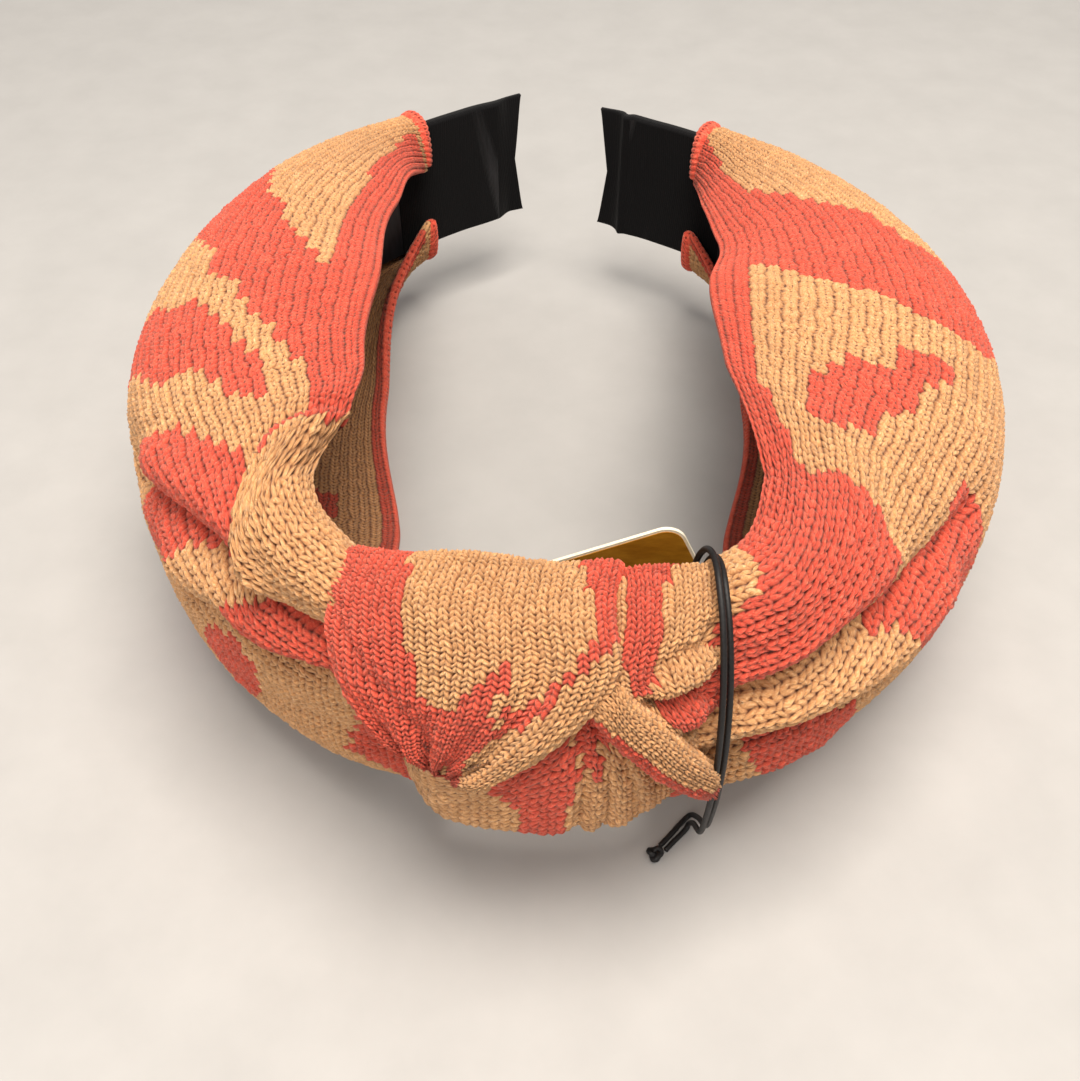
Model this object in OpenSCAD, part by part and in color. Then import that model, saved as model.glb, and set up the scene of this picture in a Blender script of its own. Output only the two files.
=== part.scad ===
// Knotted knit headband lying on the lower edge of its band.
// X runs to the wearer's side, Y from the knot to the two open tips, Z across the width of the band.
// The hard strip is one springy hoop: a crown arc, two side arcs and two tip arcs, split at two flex lines.

/* [Hoop] */
// Radius of the crown arc, to the middle of the hard strip
crown_r = 68; // [60:0.5:76]
// Y of the centre of the crown arc
crown_y = -2; // [-10:0.5:10]
// Half angle of the crown piece, up to each flex line
flex_deg = 24; // [18:1:30]
// Radius of the left side arc
left_r = 98; // [80:1:120]
// Radius of the right side arc
right_r = 88; // [80:1:120]
// Sweep of each side arc
side_deg = 48; // [40:1:56]
// Radius of the arc near each tip
tip_r = 110; // [90:1:140]
// Sweep of the left tip arc
left_tip_deg = 13.5; // [8:0.5:20]
// Sweep of the right tip arc
right_tip_deg = 15; // [8:0.5:20]
// Gap left in each layer at a flex line
flex_gap = 0.4; // [0.2:0.1:1]
// Height of the middle of the band above the ground
mid_z = 31.6; // [28:0.1:36]

/* [Band layers] */
// Thickness of the hard strip
strip_t = 1.2; // [0.8:0.1:2]
// Width of the hard strip
strip_w = 25; // [20:0.5:28]
// Thickness of each ribbon
ribbon_t = 0.45; // [0.3:0.05:0.8]
// Width of the ribbons
ribbon_w = 28; // [24:0.5:32]
// Thickness of the glue beads
glue_t = 0.25; // [0.1:0.05:0.5]
// Length of the folded ribbon end past the strip
end_len = 7; // [4:0.5:10]
// Depth of the notch in the folded ribbon end
end_notch = 2.2; // [0:0.1:4]

/* [Knit cover] */
// Thickness of the doubled knit
knit_t = 2.6; // [2:0.1:4]
// Distance along the hoop where the left cover starts
left_start = 34; // [30:0.5:45]
// Distance along the hoop where the right cover starts
right_start = 29; // [20:0.5:45]
// Distance along the hoop where the left cover ends
left_stop = 190; // [170:0.5:200]
// Distance along the hoop where the right cover ends
right_stop = 186; // [170:0.5:200]
// Length of the rolled end of each cover
roll_len = 5; // [3:0.5:8]

/* [Knot] */
// Half width of the knot
knot_a = 27.5; // [22:0.5:32]
// Depth of the knot in front of its middle
knot_b = 20.4; // [16:0.1:24]
// Half height of the knot
knot_c = 32.6; // [28:0.1:36]
// X of the middle of the knot
knot_x = -5.5; // [-10:0.5:10]
// Y of the middle of the knot
knot_y = -68; // [-76:0.5:-60]
// How far the underside of the knot is tucked back towards the band
knot_tuck = 14; // [0:1:18]

/* [Price tag] */
// Length of the card
tag_len = 48; // [40:1:70]
// Height of the card
tag_h = 38; // [25:1:45]
// Thickness of the card
tag_t = 0.5; // [0.3:0.1:1]
// Corner radius of the card
tag_corner = 3; // [1:0.5:6]
// Slope of the card as it hangs
tag_tilt = 24; // [0:1:45]
// Diameter of the hole for the cord
tag_hole = 3.6; // [2:0.1:5]
// Distance of the hole from the short side
tag_hole_in = 5; // [3:0.5:10]
// Where the hole of the card hangs
tag_at = [17.8, -52, 34.2];
// Diameter of the tag cord
cord_d = 0.9; // [0.6:0.1:1.6]

/* [Hidden] */
$fa = 4;
$fs = 0.6;
crown_len = crown_r * PI / 2;
crown_c = [0, crown_y];
coral = [0.88, 0.38, 0.30];
tan = [0.86, 0.67, 0.42];
black = [0.06, 0.06, 0.07];
clear = [0.80, 0.78, 0.70];
gold = [0.66, 0.42, 0.10];

// Cover sections: [share of the length, points from the upper hem over the outside to the lower hem].
// Each point is [outward from the hoop, up from the middle of the band].
left_cover_sections = [
  [0.00, [[-6, 28.5], [-2.5, 29.2], [1, 28.3], [4, 25], [6.5, 18.5], [7.5, 10], [7.2, 0],
          [6.4, -9], [4.8, -16], [2, -22], [-1.5, -25.5], [-4.5, -27], [-7.5, -27]]],
  [0.17, [[-28.5, 31], [-20, 31.5], [-11, 30.8], [-2.5, 27.5], [3.8, 20.5], [6.2, 11], [6.2, 0],
          [5.4, -11], [2.4, -20], [-5, -27.3], [-13, -30.2], [-20, -31.2], [-26, -31]]],
  [0.45, [[-37, 30.5], [-27, 31], [-17, 30.3], [-6, 27.3], [2.6, 20.5], [5.5, 11], [5.8, 0],
          [5.3, -11], [2.2, -20], [-6, -27.3], [-16, -30.3], [-26, -31.2], [-35, -31]]],
  [0.78, [[-28, 22.5], [-21, 24.5], [-13, 25.3], [-3.6, 23.4], [3.5, 17.5], [5.5, 9], [5.5, 0],
          [5.3, -9], [3.4, -18], [-2.5, -25.2], [-9, -28.6], [-15, -29.6], [-20.5, -28.5]]],
  [0.91, [[-16.5, 16.5], [-12, 18.5], [-6, 20], [0.2, 19.4], [4.3, 15.4], [5.2, 8], [5.2, 0],
          [5.2, -8], [4.3, -15.6], [0.6, -19.8], [-3, -20.8], [-6.5, -20], [-8.5, -18]]],
  [1.00, [[-4.6, 7.5], [-4.6, 12], [-3.4, 16.6], [0.2, 17.9], [3.8, 16.6], [5, 12], [5, 0],
          [5, -12], [3.8, -16.6], [0.2, -17.9], [-3.4, -16.6], [-4.6, -12], [-4.6, -7.5]]]];
right_cover_sections = [
  [0.00, [[-8, 28.5], [-3, 29.8], [1.5, 29], [5.5, 25], [8.8, 18.6], [10.5, 10], [10, 0],
          [8, -9], [6, -17], [3.5, -23.5], [0, -28], [-4, -29.5], [-8, -28.5]]],
  [0.17, [[-34, 30.5], [-24, 31.3], [-13, 30.8], [-3.5, 27.6], [4, 20.6], [6.8, 11], [6.8, 0],
          [6, -11], [3, -20], [-4, -27.3], [-13, -30.2], [-20, -31.2], [-26, -31]]],
  [0.45, [[-43, 30], [-31, 31], [-19, 30.5], [-7, 27.5], [2.6, 20.5], [5.5, 11], [5.8, 0],
          [5.3, -11], [2.2, -20], [-6, -27.3], [-16, -30.3], [-26, -31.2], [-35, -31]]],
  [0.78, [[-32, 20], [-24, 23.4], [-15, 25], [-4.4, 23.4], [3.5, 17.5], [5.5, 9], [5.5, 0],
          [5.3, -9], [3.4, -18], [-2.5, -25.2], [-9, -28.6], [-15, -29.6], [-20.5, -28.5]]],
  [0.91, [[-20, 14], [-14, 17.5], [-7, 19.8], [0.2, 19.4], [4.3, 15.4], [5.2, 8], [5.2, 0],
          [5.2, -8], [4.3, -15.6], [0.6, -19.8], [-3, -20.8], [-6.5, -20], [-8.5, -18]]],
  [1.00, [[-4.6, 7.5], [-4.6, 12], [-3.4, 16.6], [0.2, 17.9], [3.8, 16.6], [5, 12], [5, 0],
          [5, -12], [3.8, -16.6], [0.2, -17.9], [-3.4, -16.6], [-4.6, -12], [-4.6, -7.5]]]];

// Front outlines [x, z] of the four strands of the knot.
wrap_outline = [[-40, 30], [-40, 80], [2, 80], [4, 66], [6.5, 52], [7, 44], [-2, 33], [-12, 24],
                [-21, 14], [-27, 10], [-40, 18]];
under_outline = [[-40, -10], [-40, 17.6], [-27, 9.6], [-20.8, 13.6], [-11.8, 23.6], [-1.8, 32.6],
                 [2.2, 36.6], [6.6, 31], [12, 23.5], [16, 19], [16, -10]];
lower_outline = [[2.6, 37], [7.2, 43.4], [13, 36.5], [17, 32.3], [17, 18.6], [12.3, 23.9], [7, 31.4]];
upper_outline = [[2.5, 80], [4.4, 66], [6.9, 52], [7.6, 44], [13.3, 37], [16, 34.2], [16, 80]];

// Tag cord: two strands leave the hole together, cross over the knot and meet again in the end knot.
strand_a_route = [[18.4, -52.4, 34.2], [18.3, -53.7, 37.5], [18, -55.6, 43.5], [17.8, -57.7, 49.5],
                  [17.7, -60.4, 54.8], [17.8, -63.8, 59.4], [17.9, -67.6, 62], [18, -71.6, 62.2],
                  [18.4, -75.8, 59], [18.9, -79.2, 52], [19.2, -81.2, 43], [19.4, -81.2, 33], [19.9, -78.4, 22],
                  [20.6, -74, 11], [20.6, -68.6, 4], [19.8, -66.4, 1], [18.1, -67.8, 0.55], [16.2, -69.9, 0.5],
                  [14.7, -71.5, 0.5]];
strand_b_route = [[17.2, -52.4, 34.2], [17.1, -53.8, 37.5], [16.9, -55.2, 43.9], [16.7, -57, 50], [16.7, -59.7, 55.5],
                  [16.8, -63.4, 60.4], [17, -67.5, 63.1], [17.1, -72, 63.2], [17.5, -76.4, 59.7],
                  [17.9, -79.9, 52.4], [18.2, -81.9, 43.2], [18.4, -82, 33], [18.9, -79.3, 21.7],
                  [19.6, -75, 10.9], [19.7, -70, 4.6], [19.4, -68.3, 1.6], [18.9, -68.8, 0.6], [16.9, -70.8, 0.5],
                  [15.5, -72.3, 0.5]];

// Point and outward direction of the hoop at distance s from the middle of the crown.
function side_r(right) = right ? right_r : left_r;
function crown_turn(s) = min(s, crown_len) / crown_r * 180 / PI;
function side_turn(s, r) = min(max(s - crown_len, 0) / r * 180 / PI, side_deg);
function tip_turn(s, r) = max(s - crown_len - r * side_deg * PI / 180, 0) / tip_r * 180 / PI;
function heading(s, right) = crown_turn(s) - 90 + side_turn(s, side_r(right)) + tip_turn(s, side_r(right));
function out_dir(s, right) = [cos(heading(s, right)), sin(heading(s, right))];
function side_c(right) = [crown_r - side_r(right), crown_y];
function tip_c(right) = side_c(right) + (side_r(right) - tip_r) * [cos(side_deg), sin(side_deg)];
function hoop_pt(s, right) =
  s <= crown_len ? crown_c + crown_r * out_dir(s, right) :
  s <= crown_len + side_r(right) * side_deg * PI / 180 ? side_c(right) + side_r(right) * out_dir(s, right) :
  tip_c(right) + tip_r * out_dir(s, right);

// Smooth reading of the section tables.
function cubic(a, b, ga, gb, f) =
  (2*f*f*f - 3*f*f + 1)*a + (f*f*f - 2*f*f + f)*ga + (3*f*f - 2*f*f*f)*b + (f*f*f - f*f)*gb;
function slope(tab, i) = let (n = len(tab) - 1, lo = max(i - 1, 0), hi = min(i + 1, n))
  (tab[hi][1] - tab[lo][1]) / (tab[hi][0] - tab[lo][0]);
function find(tab, t, i = 0) = i >= len(tab) - 2 || t < tab[i + 1][0] ? i : find(tab, t, i + 1);
function section_at(tab, t) = let (i = find(tab, t), h = tab[i + 1][0] - tab[i][0], f = (t - tab[i][0]) / h)
  cubic(tab[i][1], tab[i + 1][1], slope(tab, i) * h, slope(tab, i + 1) * h, f);
function curve_at(p, x) = let (n = len(p) - 1, i = min(floor(x), n - 1), f = x - i)
  cubic(p[i], p[i + 1], (p[i + 1] - p[max(i - 1, 0)]) / (i > 0 ? 2 : 1),
        (p[min(i + 2, n)] - p[i]) / (i < n - 1 ? 2 : 1), f);
function unit(v) = v / norm(v);

// Ring of one station: outer curve from hem to hem, then the inner curve back.
steps = 26;
function ring(tab, t) = let (p = section_at(tab, t), n = len(p) - 1,
    q = [for (k = [0 : steps]) curve_at(p, k * n / steps)],
    d = [for (k = [0 : steps]) unit(q[min(k + 1, steps)] - q[max(k - 1, 0)])],
    e = [for (k = [0 : steps]) q[k] + knit_t * [d[k][1], -d[k][0]]])
  concat([q[0] + 0.5 * knit_t * (-d[0] + [d[0][1], -d[0][0]])], e,
         [q[steps] + 0.5 * knit_t * (d[steps] + [d[steps][1], -d[steps][0]])],
         [for (k = [steps : -1 : 0]) q[k]]);
function place(q, s, right) = let (c = hoop_pt(s, right), o = out_dir(s, right))
  [c[0] + q[0] * o[0], c[1] + q[0] * o[1], mid_z + q[1]];

module skin(rings, caps = []) {
  m = len(rings) - 1;
  k = len(rings[0]);
  cap = len(caps) > 0 ? caps : [[for (j = [0 : k - 1]) j]];
  polyhedron(points = [for (r = rings) each r],
    faces = concat(cap,
      [for (i = [0 : m - 1], j = [0 : k - 1]) let (a = i * k + j, b = i * k + (j + 1) % k)
        each [[a, a + k, b], [b, a + k, b + k]]],
      [for (f = cap) [for (j = [len(f) - 1 : -1 : 0]) m * k + f[j]]]), convexity = 6);
}
// End faces of a cover, strip by strip between its inner and outer curves.
cover_cap = concat([[0, 1, 2 * steps + 3], [steps + 1, steps + 2, steps + 3]],
  [for (j = [0 : steps - 1]) [1 + j, 2 + j, 2 * steps + 2 - j, 2 * steps + 3 - j]]);
module cover(tab, start, stop, right) {
  rows = 30;
  skin([for (i = [0 : rows]) let (t = i / rows, s = start + (stop - start) * t)
    [for (q = ring(tab, t)) place(q, s, right)]], cover_cap);
}

// Layered strip along part of the hoop: inner offset, thickness, width.
module arc_strip(c, r, a0, a1, off, t, w)
  translate([c[0], c[1], mid_z - w / 2]) rotate([0, 0, a0]) rotate_extrude(angle = a1 - a0)
    translate([r + off, 0]) square([t, w]);
module crown_strip(off, t, w)
  arc_strip(crown_c, crown_r, -90 - flex_deg + flex_gap / 2, -90 + flex_deg - flex_gap / 2, off, t, w);
module arm_strip(right, tip_deg, off, t, w) {
  first = crown_r * flex_deg * PI / 180 + flex_gap / 2;
  last = crown_len + (side_r(right) * side_deg + tip_r * tip_deg) * PI / 180;
  n = 70;
  function edge(d) = [for (i = [0 : n]) let (s = first + (last - first) * i / n)
    hoop_pt(s, right) + d * out_dir(s, right)];
  inner = edge(off);
  outer = edge(off + t);
  translate([0, 0, mid_z - w / 2]) linear_extrude(w)
    polygon(concat(outer, [for (i = [n : -1 : 0]) inner[i]]));
}
module on_left() mirror([1, 0, 0]) children();

// Folded ribbon end with a shallow notch, standing on the end of the tip arc.
module ribbon_end(right, tip_deg) {
  s = crown_len + (side_r(right) * side_deg + tip_r * tip_deg) * PI / 180;
  c = hoop_pt(s, right);
  translate([c[0], c[1], mid_z]) rotate([0, 0, side_deg + tip_deg]) rotate([90, 0, 90])
    translate([0, 0, -0.6]) linear_extrude(1.2)
      polygon([[0.15, -ribbon_w / 2], [end_len, -ribbon_w / 2], [end_len - end_notch * 0.7, -ribbon_w / 4],
               [end_len - end_notch, 0], [end_len - end_notch * 0.7, ribbon_w / 4], [end_len, ribbon_w / 2],
               [0.15, ribbon_w / 2]]);
}
// Rolled end of a cover: a clip-shaped wrap around the ribbon, open on the inner face.
module end_roll(right, stop) {
  s = stop + 0.3;
  c = hoop_pt(s, right);
  translate([c[0], c[1], mid_z]) rotate([0, 0, heading(s, right)]) rotate([90, 0, 0]) mirror([0, 0, 1])
    linear_extrude(roll_len) difference() {
      hull() for (x = [-2, 2], z = [-15, 15]) translate([x, z]) circle(r = 3);
      translate([-1.75, -14.5]) square([3.5, 29]);
      translate([-9, -7.5]) square([9, 15]);
    }
}
// Rounded body of the knot with the slot for the band, grown by g in front.
module knot_body(g = 0) {
  n = 24;
  m = 40;
  difference() {
    translate([knot_x, knot_y, mid_z + 1.2]) skin([for (i = [0 : n]) let (v = -88 + 176 * i / n,
        h = sign(v) * pow(abs(sin(v)), 0.75), low = max(-h, 0))
      [for (j = [0 : m - 1]) let (u = 360 * j / m,
          k = pow(pow(abs(cos(u)), 3) + pow(abs(sin(u)), 3), -1 / 3))
        [(knot_a + g) * pow(cos(v), 0.35) * k * cos(u),
         (knot_b + g) * pow(cos(v), low > 0 ? 1 : 0.5) * k * sin(u) + knot_tuck * low, knot_c * h]]]);
    translate([0, crown_y, mid_z - 14.6]) cylinder(r = crown_r + 1.7, h = 29.2, $fa = 2);
    translate([0, crown_y, -5]) cylinder(r = crown_r - 8, h = 80, $fa = 2);
    for (a = [0, 1]) mirror([a, 0, 0]) translate([0, crown_y, -5]) rotate([0, 0, -90 + flex_deg])
      cube([150, 150, 80]);
  }
}
module knot_strand(outline, g = 0) intersection() {
  knot_body(g);
  translate([0, -40, 0]) rotate([90, 0, 0]) linear_extrude(60) polygon(outline);
}

// Cord tube: eight-sided rings along a smooth line through the route points.
cord_steps = 4;
function route_at(p, x) = curve_at(p, x);
function cord_ring(p, x, d) = let (c = route_at(p, x), n = len(p) - 1,
    w = unit(route_at(p, min(x + 0.05, n)) - route_at(p, max(x - 0.05, 0))),
    u = unit(cross(w, abs(w[0]) > 0.9 ? [0, 0, 1] : [1, 0, 0])), v = cross(w, u))
  [for (j = [0 : 7]) c + d / 2 * (cos(45 * j) * u + sin(45 * j) * v)];
module cord(p) skin([for (i = [0 : (len(p) - 1) * cord_steps]) cord_ring(p, i / cord_steps, cord_d)]);

module tag_plane() translate(tag_at) rotate([0, -tag_tilt, 0]) rotate([90, 0, 0]) children();
module tag_outline(inset = 0) difference() {
  hull() for (x = [-tag_len + tag_hole_in + tag_corner, tag_hole_in - tag_corner],
              z = [-tag_h / 2 + tag_corner, tag_h / 2 - tag_corner])
    translate([x, z]) circle(r = tag_corner - inset);
  circle(d = tag_hole + 2 * inset);
}

module crown_band() color(black) crown_strip(-strip_t / 2, strip_t, strip_w);
module crown_ribbon_inner() color(black) crown_strip(-strip_t / 2 - 0.02 - ribbon_t, ribbon_t, ribbon_w);
module crown_ribbon_outer() color(black) crown_strip(strip_t / 2 + 0.02, ribbon_t, ribbon_w);
module crown_glue() color(clear) arc_strip(crown_c, crown_r, -102, -78, strip_t / 2 + 0.1 + ribbon_t, glue_t, 16);
module knot_wrap() color(tan) knot_strand(wrap_outline, 0);
module knot_underside() color(coral) knot_strand(under_outline, -0.8);
module knot_lower_strand() color(tan) knot_strand(lower_outline, -0.3);
module knot_upper_strand() color(coral) knot_strand(upper_outline, -1.2);

module left_arm_band() color(black) on_left() arm_strip(false, left_tip_deg, -strip_t / 2, strip_t, strip_w);
module left_ribbon_inner() color(black) on_left()
  arm_strip(false, left_tip_deg, -strip_t / 2 - 0.02 - ribbon_t, ribbon_t, ribbon_w);
module left_ribbon_outer() color(black) on_left()
  arm_strip(false, left_tip_deg, strip_t / 2 + 0.02, ribbon_t, ribbon_w);
module left_ribbon_end() color(black) on_left() ribbon_end(false, left_tip_deg);
module left_cover() color(coral) on_left() cover(left_cover_sections, left_start, left_stop, false);
module left_end_roll() color(coral) on_left() end_roll(false, left_stop);
module left_glue() color(clear) on_left()
  arc_strip(side_c(false), side_r(false), 35, side_deg, strip_t / 2 + 0.1 + ribbon_t, glue_t, 16);

module right_arm_band() color(black) arm_strip(true, right_tip_deg, -strip_t / 2, strip_t, strip_w);
module right_ribbon_inner() color(black)
  arm_strip(true, right_tip_deg, -strip_t / 2 - 0.02 - ribbon_t, ribbon_t, ribbon_w);
module right_ribbon_outer() color(black) arm_strip(true, right_tip_deg, strip_t / 2 + 0.02, ribbon_t, ribbon_w);
module right_ribbon_end() color(black) ribbon_end(true, right_tip_deg);
module right_cover() color(tan) cover(right_cover_sections, right_start, right_stop, true);
module right_end_roll() color(coral) end_roll(true, right_stop);
module right_glue() color(clear)
  arc_strip(side_c(true), side_r(true), 35, side_deg, strip_t / 2 + 0.1 + ribbon_t, glue_t, 16);

module tag_card() color([0.9, 0.85, 0.7]) tag_plane() linear_extrude(tag_t) tag_outline();
module tag_foil() color(gold) tag_plane() translate([0, 0, tag_t + 0.02]) linear_extrude(0.1) tag_outline(0.4);
module tag_cord_a() color(black) cord(strand_a_route);
module tag_cord_b() color(black) cord(strand_b_route);
module tag_cord_knot() color(black) translate([13.7, -73.4, 1.45]) difference() {
  sphere(d = 3);
  translate([-5, -5, -6.35]) cube([10, 10, 5]);
}

crown_band();
crown_ribbon_inner();
crown_ribbon_outer();
crown_glue();
knot_wrap();
knot_underside();
knot_lower_strand();
knot_upper_strand();
left_arm_band();
left_ribbon_inner();
left_ribbon_outer();
left_ribbon_end();
left_cover();
left_end_roll();
left_glue();
right_arm_band();
right_ribbon_inner();
right_ribbon_outer();
right_ribbon_end();
right_cover();
right_end_roll();
right_glue();
tag_card();
tag_foil();
tag_cord_a();
tag_cord_b();
tag_cord_knot();
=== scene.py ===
"""Knotted knit headband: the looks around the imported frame. Lengths are in mm until a mesh is written."""
import math
import bpy
import numpy as np
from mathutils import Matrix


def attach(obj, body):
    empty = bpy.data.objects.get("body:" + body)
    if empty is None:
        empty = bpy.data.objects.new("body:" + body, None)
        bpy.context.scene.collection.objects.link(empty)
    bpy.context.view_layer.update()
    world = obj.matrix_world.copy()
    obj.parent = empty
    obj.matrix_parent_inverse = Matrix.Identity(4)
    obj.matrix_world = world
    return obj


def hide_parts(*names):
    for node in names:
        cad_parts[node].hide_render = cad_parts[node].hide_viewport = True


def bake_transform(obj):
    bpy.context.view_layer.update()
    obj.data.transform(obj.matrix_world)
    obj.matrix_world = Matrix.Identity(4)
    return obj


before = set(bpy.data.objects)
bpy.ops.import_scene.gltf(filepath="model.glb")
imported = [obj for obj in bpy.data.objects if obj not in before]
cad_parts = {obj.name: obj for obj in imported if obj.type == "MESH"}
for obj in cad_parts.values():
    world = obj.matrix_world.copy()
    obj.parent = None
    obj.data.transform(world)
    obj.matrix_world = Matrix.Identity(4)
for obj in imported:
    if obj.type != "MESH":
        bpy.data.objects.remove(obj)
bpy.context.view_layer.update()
MM = 0.001

# ------------ camera
CAMERA_AT = (-0.0043, -0.165, 0.169)  # metres
CAMERA_TILT = 43.5  # degrees up from straight down
CAMERA_LENS = 39.33
cam_data = bpy.data.cameras.new("camera")
cam_data.lens = CAMERA_LENS
cam_data.sensor_width = 36
cam_data.clip_start = 0.005
cam = bpy.data.objects.new("camera", cam_data)
cam.location = CAMERA_AT
cam.rotation_euler = (math.radians(CAMERA_TILT), 0, 0)
bpy.context.scene.collection.objects.link(cam)
bpy.context.scene.camera = cam
bpy.context.scene.view_settings.view_transform = "Standard"


# ------------ mesh helpers
def flat(arrays, width):
    """The rows of all the arrays, one after the other, as Blender's foreach_set takes them."""
    return np.concatenate([np.reshape(a, (-1, width)) for a in arrays]).astype(np.float32).ravel()


def build(name, points, faces, uv, col=None):
    """points (n, 3) in mm; faces, uv and col are lists, with one array for each kind of face."""
    mesh = bpy.data.meshes.new(name)
    mesh.vertices.add(len(points))
    mesh.vertices.foreach_set("co", (points * MM).astype(np.float32).ravel())
    mesh.loops.add(sum(f.size for f in faces))
    mesh.loops.foreach_set("vertex_index", np.concatenate([f.ravel() for f in faces]).astype(np.int32))
    sizes = np.concatenate([np.full(len(f), f.shape[1]) for f in faces])
    mesh.polygons.add(len(sizes))
    mesh.polygons.foreach_set("loop_start", np.r_[0, np.cumsum(sizes)[:-1]].astype(np.int32))
    mesh.update(calc_edges=True)
    mesh.polygons.foreach_set("use_smooth", np.full(len(sizes), True))
    mesh.uv_layers.new(name="UVMap").data.foreach_set("uv", flat(uv, 2))
    if col is not None:
        mesh.color_attributes.new("Col", "FLOAT_COLOR", "CORNER").data.foreach_set("color", flat(col, 4))
    mesh.validate()
    obj = bpy.data.objects.new(name, mesh)
    bpy.context.scene.collection.objects.link(obj)
    return obj


def volume(points, faces):
    v = 0.0
    for f in faces:
        p = points[f]
        for k in range(1, p.shape[1] - 1):
            v += np.einsum("ij,ij->i", p[:, 0], np.cross(p[:, k], p[:, k + 1])).sum() / 6
    return v


def outward(points, faces):
    """The faces, turned round if they face inwards."""
    return [f[:, ::-1] for f in faces] if volume(points, faces) < 0 else faces


def ring_quads(rows, k):
    """Faces between neighbouring rings, for points that are numbered ring by ring, k to a ring."""
    i = np.arange(rows - 1)[:, None] * k
    j = np.arange(k)[None, :]
    nxt = (j + 1) % k
    return np.stack([i + j, i + nxt, i + k + nxt, i + k + j], -1).reshape(-1, 4)


def end_fans(rows, k):
    """Triangles that close both ends of such rings, to two more points numbered after them."""
    j = np.arange(k)
    nxt = (j + 1) % k
    first = np.stack([nxt, j, np.full(k, rows * k)], -1)
    last = np.stack([(rows - 1) * k + j, (rows - 1) * k + nxt, np.full(k, rows * k + 1)], -1)
    return np.concatenate([first, last])


def run_length(p):
    """Distance along a polyline at each of its points."""
    return np.r_[0, np.cumsum(np.linalg.norm(np.diff(p, axis=0), axis=1))]


def unit(v):
    return v / (np.linalg.norm(v, axis=-1, keepdims=True) + 1e-12)


def smooth(a, b, x):
    t = np.clip((np.asarray(x, float) - a) / (b - a), 0, 1)
    return t * t * (3 - 2 * t)


def cubic(x, xs, ys):
    """Smooth curve through (xs, ys); ys may have trailing axes."""
    x, xs, ys = (np.asarray(a, float) for a in (x, xs, ys))
    e = (slice(None),) + (None,) * (ys.ndim - 1)
    g = np.empty_like(ys)
    g[1:-1] = (ys[2:] - ys[:-2]) / (xs[2:] - xs[:-2])[e]
    g[0] = (ys[1] - ys[0]) / (xs[1] - xs[0])
    g[-1] = (ys[-1] - ys[-2]) / (xs[-1] - xs[-2])
    i = np.clip(np.searchsorted(xs, x, side="right") - 1, 0, len(xs) - 2)
    h = xs[i + 1] - xs[i]
    f = np.clip((x - xs[i]) / h, 0, 1)
    q = (...,) + (None,) * (ys.ndim - 1)
    f, h = f[q], h[q]
    return ((2 * f**3 - 3 * f**2 + 1) * ys[i] + (f**3 - 2 * f**2 + f) * h * g[i]
            + (3 * f**2 - 2 * f**3) * ys[i + 1] + (f**3 - f**2) * h * g[i + 1])


def sample(grid, u, v):
    """Grid (a, b, ...) read at u and v from 0 to 1."""
    a, b = grid.shape[:2]
    x = np.clip(u, 0, 1) * (a - 1)
    y = np.clip(v, 0, 1) * (b - 1)
    i = np.minimum(x.astype(int), a - 2)
    j = np.minimum(y.astype(int), b - 2)
    f = (x - i)[..., None]
    g = (y - j)[..., None]
    return (grid[i, j] * (1 - f) * (1 - g) + grid[i + 1, j] * f * (1 - g)
            + grid[i, j + 1] * (1 - f) * g + grid[i + 1, j + 1] * f * g)


def grid_normals(grid, sign):
    n = np.cross(np.gradient(grid, axis=0), np.gradient(grid, axis=1))
    return sign * unit(n)


def inside(poly, x, y):
    """True where the points lie in the polygon."""
    px, py = np.asarray(poly, float).T
    out = np.zeros(np.shape(x), bool)
    for k in range(len(px)):
        x0, y0, x1, y1 = px[k], py[k], px[k - 1], py[k - 1]
        if y0 != y1:
            out ^= ((y0 > y) != (y1 > y)) & (x < (x1 - x0) * (y - y0) / (y1 - y0) + x0)
    return out


def in_any(polys, x, y):
    """True where the points lie in any of the polygons."""
    out = np.zeros(np.shape(x), bool)
    for poly in polys:
        out |= inside(poly, x, y)
    return out


def line_distance(pts, x, y):
    """Distance to a polyline and the side it is on (+ to the left of the line's direction)."""
    pts = np.asarray(pts, float)
    best = np.full(np.shape(x), 1e9)
    side = np.zeros(np.shape(x))
    for a, b in zip(pts[:-1], pts[1:]):
        d = b - a
        t = np.clip(((x - a[0]) * d[0] + (y - a[1]) * d[1]) / (d @ d), 0, 1)
        ex, ey = x - a[0] - t * d[0], y - a[1] - t * d[1]
        r = np.hypot(ex, ey)
        s = np.sign(d[0] * ey - d[1] * ex)
        near = r < best
        best = np.where(near, r, best)
        side = np.where(near, s, side)
    return best, side


# ------------ knit
STITCH_COLS = 4  # quads across a stitch
NOTCH = 0.1  # mm, the dip between a stitch's two legs
SLANT = 0.75  # how far the legs lean, in courses
CLOSE = 4  # rows over which the thickness closes at each end
HEM_ANGLES = (0.95, 0.32, -0.32, -0.95)  # radians, the points round each hem


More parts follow.
